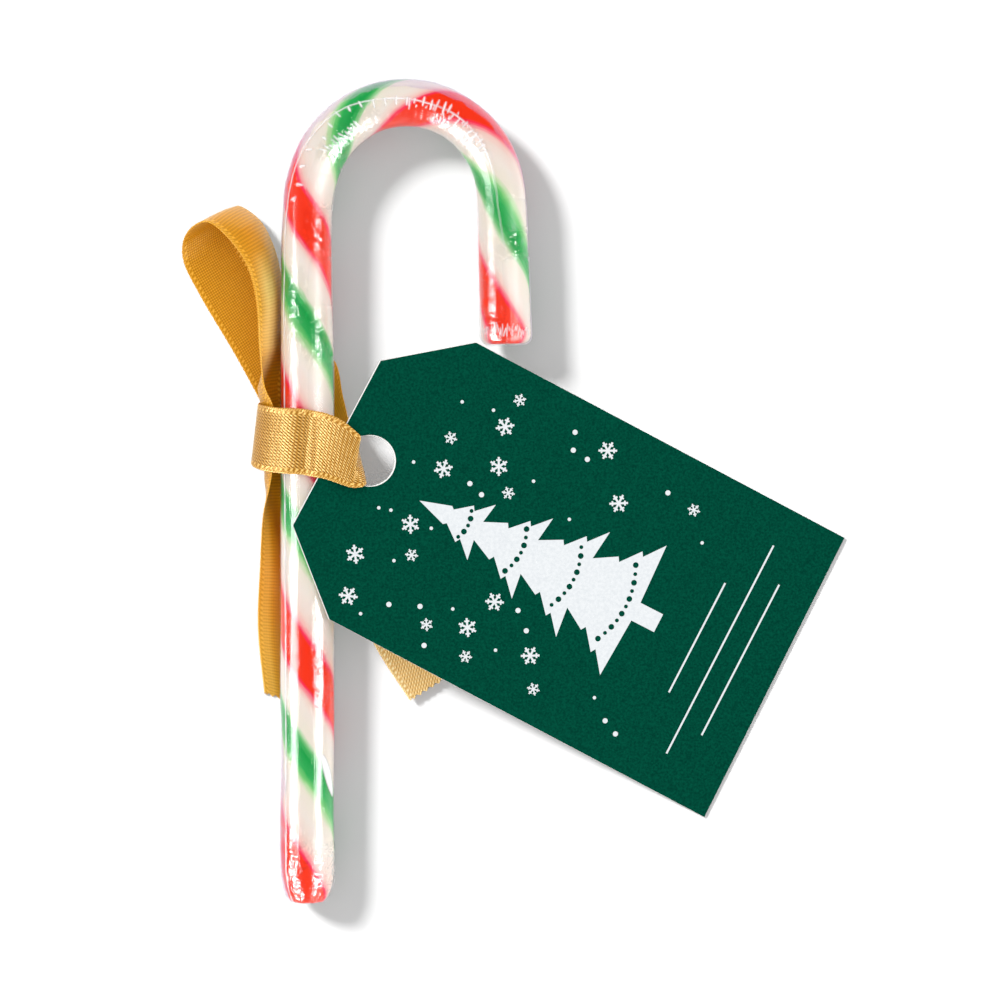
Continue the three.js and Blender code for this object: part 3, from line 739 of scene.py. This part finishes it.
def woven_satin(name, pitch, slant, beads, contrast, colours, gloss, painted_streaks=()):
    """Polyester satin ribbon, woven and heat-set: its yarns lie along it and shine in long soft
    highlights. pitch is the spacing of the weave's rows and of its lengthwise lines in mm, slant how far
    each row is shifted from the last, beads how far the rows break up into single beads, contrast how
    deep the weave is, and colours those of its gaps, yarns and crowns. The last argument lists lengthwise
    streaks of painted highlight and painted shade, strongest on the weave's crowns: (middle and half
    width across it, where it starts and ends along it, how much, colour). Real yarns lie about 0.1 mm
    apart, so the weave is drawn 4 to 7 times as coarse, which is as coarse as it needs to show."""
    material, tree = new_material(name)
    place = add_node(tree, "UVMap", uv_map="places")
    split = add_node(tree, "SeparateXYZ", [place])
    across, along = split.outputs[0], split.outputs[1]
    # Slubs, 0.7 mm across, make the rows waver.
    body = add_node(tree, "TexCoord")
    slub = add_node(tree, "TexNoise", {"Vector": body.outputs["Object"], "Scale": 1 / (0.667 * MM),
                                       "Detail": 2.0})
    waver = add_node(tree, "Math", [slub, 0.22, along], operation="MULTIPLY_ADD")
    shifted = add_node(tree, "Math", [across, slant, waver], operation="MULTIPLY_ADD")
    rows = ripple(tree, shifted, pitch[0])
    lines = ripple(tree, across, pitch[1])
    weave = add_node(tree, "Math", [lines, beads, rows], operation="MULTIPLY_ADD")
    uneven = add_node(tree, "Math", [slub, 0.8, weave], operation="MULTIPLY_ADD")
    field = add_node(tree, "MapRange", [uneven, -0.6 - beads, 1.4 + beads, 0.52 - contrast / 2,
                                        0.52 + contrast / 2])
    # Selvedges: a twisted cord in the outer 0.4 mm, and the weft's loops as pale beads, 0.7 mm in.
    from_right = add_node(tree, "Math", [RIBBON_WIDTH, across], operation="SUBTRACT")
    from_edge = add_node(tree, "Math", [across, from_right], operation="MINIMUM")
    inward = add_node(tree, "Math", [from_edge, 0.68], operation="SUBTRACT")
    off_loops = add_node(tree, "Math", [inward], operation="ABSOLUTE")
    in_row = add_node(tree, "MapRange", [off_loops, 0.28, 0.14])
    loop_place = add_node(tree, "Math", [across, 0.5, waver], operation="MULTIPLY_ADD")
    loops = add_node(tree, "MapRange", [ripple(tree, loop_place, WEFT_LOOP), -1.0, 0.9, 0.38, 1.0])
    looped = add_node(tree, "Mix", {0: in_row, 2: field, 3: loops})
    cord_place = add_node(tree, "Math", [across, 0.8, waver], operation="MULTIPLY_ADD")
    cord = add_node(tree, "MapRange", [ripple(tree, cord_place, CORD_TWIST), -1.0, 1.0, 0.5, 0.9])
    on_cord = add_node(tree, "MapRange", [from_edge, 0.44, 0.36])
    height = add_node(tree, "Mix", {0: on_cord, 2: looped, 3: cord})
    shade = add_node(tree, "ValToRGB", [height])
    colour_stops(shade, [(0.0, colours[0]), (0.6, colours[1]), (1.0, colours[2])])
    # Each streak paints light or shade into the colour: a pale one is a painted highlight, a dark one
    # painted shade.
    for middle, half_width, start, end, amount, streak_colour in painted_streaks:
        aside = add_node(tree, "Math", [across, middle], operation="SUBTRACT")
        off_middle = add_node(tree, "Math", [aside], operation="ABSOLUTE")
        beside = add_node(tree, "MapRange", [off_middle, half_width, half_width * 0.3])
        begun = add_node(tree, "MapRange", [along, start, start + 6])
        not_over = add_node(tree, "MapRange", [along, end, end - 6])
        within = add_node(tree, "Math", [begun, not_over], operation="MULTIPLY")
        in_streak = add_node(tree, "Math", [beside, within], operation="MULTIPLY")
        crowns = add_node(tree, "MapRange", [height, 0.2, 0.7, 0.45, 1.0])
        on_crowns = add_node(tree, "Math", [crowns, amount], operation="MULTIPLY")
        how_much = add_node(tree, "Math", [in_streak, on_crowns], operation="MULTIPLY")
        streak = add_node(tree, "Mix", {0: how_much, 6: shade, 7: linear(streak_colour)},
                          data_type="RGBA")
        shade = streak.outputs[2]
    bump = add_node(tree, "Bump", {"Strength": 0.5, "Distance": 0.14 * MM, "Height": height})
    # The yarns run along the ribbon, so a highlight is short along it and wide across it.
    yarns = add_node(tree, "Tangent", direction_type="UV_MAP", uv_map="places")
    surface = add_node(tree, "BsdfPrincipled", {
        "Base Color": shade, "Roughness": 0.28, "IOR": 1.5, "Specular IOR Level": gloss,
        "Specular Tint": linear("#ffe2a0"), "Anisotropic": 0.5, "Normal": bump, "Tangent": yarns,
        "Sheen Weight": 0.5, "Sheen Roughness": 0.35, "Sheen Tint": linear("#ffd88a")})
    add_node(tree, "OutputMaterial", [surface])
    return material


def make_ribbon():
    gold = ("#8a4a00", "#d89008", "#f2b436")
    inside = ("#9a5802", "#cf8c0c", "#eeb03a")
    tan = ("#5a2c00", "#bc7c18", "#f6cc78")
    straw = ("#a87428", "#ecc078", "#fff0c0")
    # Painted highlights along the loop's standing strip and the left tail's part away from the cane, and
    # painted shade on the left tail beside the cane.
    painted_streaks = [(3.7, 3.0, 44, 78, 1.0, "#f8d080"), (1.8, 2.2, 48, 68, 0.5, "#ffd070"),
              (1.4, 1.3, -6, 36, 0.6, "#f8c050"), (5.0, 2.4, -6, 36, 0.9, "#964400")]
    ribbed = woven_satin("satin_ribbed", (0.55, 0.42), 0.0, 0.25, 0.36, gold, 1.4, painted_streaks)
    beaded = woven_satin("satin_beaded", (0.42, 0.42), 0.1, 0.8, 0.75, inside, 0.4)
    # The twill's one streak is painted shade over the band's first few mm, up the cane's left side.
    twill = woven_satin("satin_twill", (0.7, 0.5), -1.3, 0.45, 1.0, tan, 1.4,
                        [(5.25, 8.0, -6, 8, 0.4, "#a06008")])
    # The right tail's lower face, the ribbon's other side, is a paler copy of the twill: the extra paleness
    # is painted light on that flat face.
    pale_twill = woven_satin("satin_pale_twill", (0.6, 0.5), 1.0, 0.6, 0.8, straw, 1.4)
    ribbon_strip("ribbon_loop", LOOP_STATIONS, False, 60, (ribbed, beaded, pale_twill))
    ribbon_strip("ribbon_band", BAND_STATIONS, True, 30, (twill, ribbed))


# ---- Gift tag ----

TAG_POSE = (Matrix.Translation(Vector(TAG_FREE_END - MIDDLE)) @ Matrix.Rotation(TAG_YAW, 4, "Z")
            @ Matrix.Rotation(TAG_TILT, 4, "Y"))


def inset(corners, amount):
    """A convex outline, anticlockwise, moved in by amount."""
    corners = [Vector(c) for c in corners]
    sides = []
    for a, b in zip(corners, corners[1:] + corners[:1]):
        way = (b - a).normalized()
        sides.append((a + Vector((-way.y, way.x)) * amount, way))
    moved = []
    for (a, u), (b, v) in zip(sides[-1:] + sides[:-1], sides):
        step = (b - a).cross(v) / u.cross(v)
        moved.append(tuple(a + u * step))
    return moved


def clipped(corners, keep):
    """The part of a convex outline that lies inside another, both anticlockwise."""
    shape = [Vector(c) for c in corners]
    keep = [Vector(c) for c in keep]
    for a, b in zip(keep, keep[1:] + keep[:1]):
        side = b - a
        inside = [side.cross(p - a) >= 0 for p in shape]
        kept = []
        for k, here in enumerate(shape):
            before = shape[k - 1]
            if inside[k] != inside[k - 1]:
                share = side.cross(a - before) / side.cross(here - before)
                kept.append(before + (here - before) * share)
            if inside[k]:
                kept.append(here)
        shape = kept
    return [tuple(p) for p in shape]


def plate(name, levels, material):
    """A closed plate in the tag's plane. Each level is (height, list of outlines); the first is its
    underside, the last its top, and outlines of one place have as many points at every level."""
    mesh = bmesh.new()
    rings = []
    for height, outlines in levels:
        rings.append([[mesh.verts.new((x, y, height)) for x, y in outline] for outline in outlines])
    for low, high in zip(rings, rings[1:]):
        for low_ring, high_ring in zip(low, high):
            for k in range(len(low_ring)):
                mesh.faces.new((low_ring[k - 1], low_ring[k], high_ring[k], high_ring[k - 1]))
    for ring_set, way in ((rings[0], -1), (rings[-1], 1)):
        edges = []
        for ring in ring_set:
            for k in range(len(ring)):
                edge = mesh.edges.get((ring[k - 1], ring[k])) or mesh.edges.new((ring[k - 1], ring[k]))
                edges.append(edge)
        bmesh.ops.triangle_fill(mesh, use_beauty=True, edges=edges, normal=(0, 0, way))
    bmesh.ops.recalc_face_normals(mesh, faces=mesh.faces)
    mesh.transform(Matrix.Scale(MM, 4) @ TAG_POSE)
    data = bpy.data.meshes.new(name)
    mesh.to_mesh(data)
    mesh.free()
    piece = bpy.data.objects.new(name, data)
    bpy.context.scene.collection.objects.link(piece)
    data.materials.append(material)
    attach(piece, "root")
    return piece


def uncoated_card():
    """Uncoated white card, die-cut: matt, with the fine fibre of pressed pulp."""
    material, tree = new_material("uncoated_card")
    fibre, bump = grain(tree, size=0.4, detail=4.0, strength=0.3, depth=0.03)
    colour = add_node(tree, "ValToRGB", [fibre])
    colour_stops(colour, [(0.3, "#e4e4e1"), (0.7, "#f0f0ee")])
    surface = add_node(tree, "BsdfPrincipled", {
        "Base Color": colour, "Roughness": 0.85, "IOR": 1.5, "Normal": bump})
    add_node(tree, "OutputMaterial", [surface])
    return material


def litho_ink(name, dull, bright, patch):
    """Offset litho ink on uncoated card: matt, and mottled where the fibre drinks more or less of it, in
    patches of so many mm."""
    material, tree = new_material(name)
    mottle, bump = grain(tree, patch, detail=3.0, strength=0.4, depth=0.03, roughness=0.7)
    colour = add_node(tree, "ValToRGB", [mottle])
    colour_stops(colour, [(0.36, dull), (0.64, bright)])
    surface = add_node(tree, "BsdfPrincipled", {
        "Base Color": colour, "Roughness": 0.9, "IOR": 1.4, "Specular IOR Level": 0.0, "Normal": bump})
    add_node(tree, "OutputMaterial", [surface])
    return material


def round_outline(centre, radii):
    """An outline round a point, with a radius for each of its corners."""
    turns = [k / len(radii) * TURN for k in range(len(radii))]
    return [(centre[0] + radius * math.cos(turn), centre[1] + radius * math.sin(turn))
            for radius, turn in zip(radii, turns)]


def punched_hole(grow):
    """The hole's outline, a little ragged as a worn punch leaves it."""
    ragged = np.random.default_rng(7).uniform(-0.05, 0.05, HOLE_SIDES)
    return round_outline(TAG_HOLE, TAG_HOLE_RADIUS + grow + ragged)


def inked_hole():
    """The bare spot of the print round the hole: its own circle, or the hole where that is wider."""
    centre = TAG_HOLE + np.array(INK_SHIFT)
    outline = []
    for x, y in punched_hole(0.03):
        way = np.array([x, y]) - TAG_HOLE
        reach = np.linalg.norm(way)
        way = way / reach
        off = TAG_HOLE - centre
        along = off @ way
        printed = -along + math.sqrt(max(along ** 2 - off @ off + (TAG_HOLE_RADIUS + 0.1) ** 2, 0))
        outline.append(tuple(TAG_HOLE + way * max(reach, printed)))
    return outline


# One side of a snow crystal's arm: shares of the crystal's size along it, and of the arm's half width.
CRYSTAL_ARM = [(0.55, 1.0), (0.62, 2.6), (0.78, 2.2), (0.74, 1.0), (1.0, 1.0)]


def snow_crystal(centre, size, turn):
    """A six-armed crystal as one outline."""
    arm = size * 0.11
    root = arm / math.tan(math.pi / 6)
    right = [(size * reach, width * arm) for reach, width in CRYSTAL_ARM]
    left = [(reach, -width) for reach, width in right]
    outline = []
    for k in range(6):
        way = turn + k * TURN / 6
        along = np.array([math.cos(way), math.sin(way)])
        side = np.array([-along[1], along[0]])
        for reach, width in [(root, -arm)] + left + right[::-1]:
            outline.append(tuple(np.array(centre) + along * reach + side * width))
    return outline


# The fir, in the tag's plane: x from its tip to its trunk's end, and y of its trunk.
FIR_TIP = -68.6
FIR_BOUGHS = -66.0
FIR_BASE = -27.0
TRUNK_END = -22.6
FIR_MIDDLE = -0.8
TRUNK_HALF = 1.7
FIR_TIERS = 4
FLAKE_COUNT = 46


def fir_side():
    """Half of the fir's outline, from its tip to its base: (x, half width), with a tooth for each bough."""
    half = []
    length = (FIR_BASE - FIR_BOUGHS) / FIR_TIERS
    for tier in range(FIR_TIERS):
        top = FIR_BOUGHS + length * tier
        wide = 2.9 + 9.5 * (tier + 1) / FIR_TIERS
        narrow, narrow_below = (0.2 + 6.0 * k / FIR_TIERS for k in (tier, tier + 1))
        for k in range(1, 4):
            x = top + length * k / 3
            w = narrow + (wide - narrow) * (k / 3) ** 1.1
            half.append((x - 0.5, w))
            if k < 3:
                half.append((x, w - min(0.8, 0.25 * w)))
        if tier < FIR_TIERS - 1:
            half.append((x - 1.1, narrow_below))
    return half


def fir_outline():
    """The whole fir with its trunk, clockwise."""
    side = fir_side()
    outline = [(x, FIR_MIDDLE + w) for x, w in side]
    outline += [(FIR_BASE, FIR_MIDDLE + TRUNK_HALF), (TRUNK_END, FIR_MIDDLE + TRUNK_HALF)]
    outline += [(TRUNK_END, FIR_MIDDLE - TRUNK_HALF), (FIR_BASE, FIR_MIDDLE - TRUNK_HALF)]
    outline += [(x, FIR_MIDDLE - w) for x, w in side[::-1]]
    return outline + [(FIR_TIP, FIR_MIDDLE)]


def snowfall():
    """Snow crystals and dots, drawn at random and kept off the fir, the hole, the edges and each other."""
    draw = np.random.default_rng(11)
    placed, flakes = [], []
    while len(placed) < FLAKE_COUNT:
        x, y = draw.uniform(-76, -19), draw.uniform(-23, 23)
        size = draw.choice([1.6, 1.1, 0.45, 0.3])
        on_tree = abs(y - FIR_MIDDLE) < 15.0 * np.clip((x + 69) / 44, 0.16, 1) + size and x > -70
        at_hole = math.hypot(x - TAG_HOLE[0], y - TAG_HOLE[1]) < TAG_HOLE_RADIUS + 2.5 + size
        at_clip = x < -72 and abs(y) > 14 or abs(y) > 24 - size
        if on_tree or at_hole or at_clip:
            continue
        if any(math.hypot(x - a, y - b) < size + c + 1.4 for a, b, c in placed):
            continue
        placed.append((x, y, size))
        if size > 1:
            flakes.append(snow_crystal((x, y), size, draw.uniform(0, TURN)))
        else:
            flakes.append(round_outline((x, y), [size] * 14))
    return flakes


def writing_lines():
    """Three blank lines to write on, across the tag."""
    half = 0.16
    return [[(x - half, -reach), (x + half, -reach), (x + half, reach), (x - half, reach)]
            for x, reach in ((-15.5, 10.5), (-11.0, 20.0), (-7.0, 14.5))]


def bauble_strings():
    """A sagging string of baubles across each tier of the fir, with every other one smaller."""
    baubles = []
    for tier in range(FIR_TIERS):
        x = FIR_BOUGHS + (FIR_BASE - FIR_BOUGHS) * (tier + 0.62) / FIR_TIERS
        reach = 2.0 + 6.1 * (tier + 0.3) / FIR_TIERS
        half_count = 2 + tier
        for k in range(-half_count, half_count + 1):
            share = k / half_count
            sag = 0.25 * reach * (1 - share ** 2)
            radius = 0.5 if k % 2 else 0.34
            baubles.append(round_outline((x + sag, FIR_MIDDLE + reach * share), [radius] * 12))
    return baubles


def make_print(ink):
    """The winter motif: a snow-covered fir, snow and blank lines in white, and baubles in the dark ink."""
    low, high = TAG_THICKNESS + INK_THICKNESS, TAG_THICKNESS + 2 * INK_THICKNESS
    white = litho_ink("white_print", "#cdd1d4", "#d8dbdd", 0.5)
    shapes = [fir_outline()[::-1]] + snowfall() + writing_lines()
    plate("white_motif", [(low, shapes), (high, shapes)], white)
    baubles = bauble_strings()
    plate("dark_details", [(high, baubles), (high + INK_THICKNESS, baubles)], ink)


def make_tag():
    bevel = 0.06
    outer = TAG_CORNERS
    inner = inset(outer, bevel)
    card = plate("tag_card", [
        (0, [inner, punched_hole(bevel)]), (bevel, [outer, punched_hole(0)]),
        (TAG_THICKNESS - bevel, [outer, punched_hole(0)]), (TAG_THICKNESS, [inner, punched_hole(bevel)]),
    ], uncoated_card())
    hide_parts("gift_tag")
    green = litho_ink("green_print", "#013529", "#034937", 0.4)
    printed = [(x + INK_SHIFT[0], y + INK_SHIFT[1]) for x, y in outer]
    field = clipped(printed, inset(outer, 0.02))
    plate("green_print", [(TAG_THICKNESS, [field, inked_hole()]),
                          (TAG_THICKNESS + INK_THICKNESS, [field, inked_hole()])], green)
    make_print(green)


# ---- Stage ----

def matt_board():
    """Painted board, rolled matt white: even, with a faint tooth."""
    material, tree = new_material("matt_board")
    _, bump = grain(tree, size=1.11, detail=2.0, strength=0.1, depth=0.02)
    surface = add_node(tree, "BsdfPrincipled", {
        "Base Color": linear("#898989"), "Roughness": 0.9, "Specular IOR Level": 0.1, "Normal": bump})
    add_node(tree, "OutputMaterial", [surface])
    return material


def make_floor():
    reach = 2000
    corners = [(-reach, -reach, 0), (reach, -reach, 0), (reach, reach, 0), (-reach, reach, 0)]
    floor = add_mesh("floor", corners, [(0, 1, 2, 3)])
    floor.data.materials.append(matt_board())
    return floor


def aim(thing, place, target):
    thing.location = place
    thing.rotation_euler = (Vector(target) - Vector(place)).to_track_quat("-Z", "Y").to_euler()
    bpy.context.scene.collection.objects.link(thing)
    return thing


def soft_box(name, zenith, spread, radiance):
    """A long oval soft box beside the object, seen only as a reflection. Angles in degrees: its middle
    from straight overhead, to the right if positive, and how wide it looks."""
    reach = 0.7  # from the object to the box
    far_end = 0.12
    length = 1.6
    light = bpy.data.lights.new(name, "AREA")
    light.shape = "ELLIPSE"
    light.size = 2 * reach * math.tan(math.radians(spread / 2))
    light.size_y = length
    light.energy = radiance * math.pi * light.size * light.size_y * math.pi / 4
    box = bpy.data.objects.new(name, light)
    angle = math.radians(zenith)
    box.location = (reach * math.sin(angle), far_end - light.size_y / 2, reach * math.cos(angle))
    box.rotation_euler = (0, angle, 0)
    box.visible_diffuse = False
    bpy.context.scene.collection.objects.link(box)


def light_studio(floor):
    """Even light from all round, two soft boxes, and for the floor a low key and a fill from above."""
    only_floor = bpy.data.collections.new("only_floor")
    only_floor.objects.link(floor)
    for name, energy, place in (("floor_key", 12.4, (-1.03, 0.8, 1.0)), ("floor_fill", 2.8, (0, 0, 1.0))):
        sun = bpy.data.lights.new(name, "SUN")
        sun.energy = energy
        sun.angle = math.radians(13)
        sun.use_shadow = name == "floor_key"
        lamp = aim(bpy.data.objects.new(name, sun), place, (0, 0, 0))
        lamp.visible_glossy = False
        lamp.light_linking.receiver_collection = only_floor
    soft_box("left_box", -58, 38, 11.5)
    soft_box("right_box", 52, 31, 12.0)
    world = bpy.data.worlds.new("room")
    world.use_nodes = True
    world.node_tree.nodes["Background"].inputs[0].default_value = linear("#ffffff")
    world.node_tree.nodes["Background"].inputs[1].default_value = 1.35
    world.cycles_visibility.glossy = False
    bpy.context.scene.world = world


CAMERA_PLACE = (-2.37, -1.555, 450.0)
CAMERA_VIEW = 171.756  # mm of the resting surface across the render
SENSOR_WIDTH = 36.0


def set_camera():
    lens = bpy.data.cameras.new("camera")
    lens.sensor_width = SENSOR_WIDTH
    lens.lens = SENSOR_WIDTH * CAMERA_PLACE[2] / CAMERA_VIEW
    lens.clip_start = 0.01
    camera = bpy.data.objects.new("camera", lens)
    camera.location = [c * MM for c in CAMERA_PLACE]
    bpy.context.scene.collection.objects.link(camera)
    bpy.context.scene.camera = camera
    bpy.context.scene.view_settings.view_transform = "Standard"


set_camera()
make_candy()
make_film()
make_ribbon()
make_tag()
light_studio(make_floor())
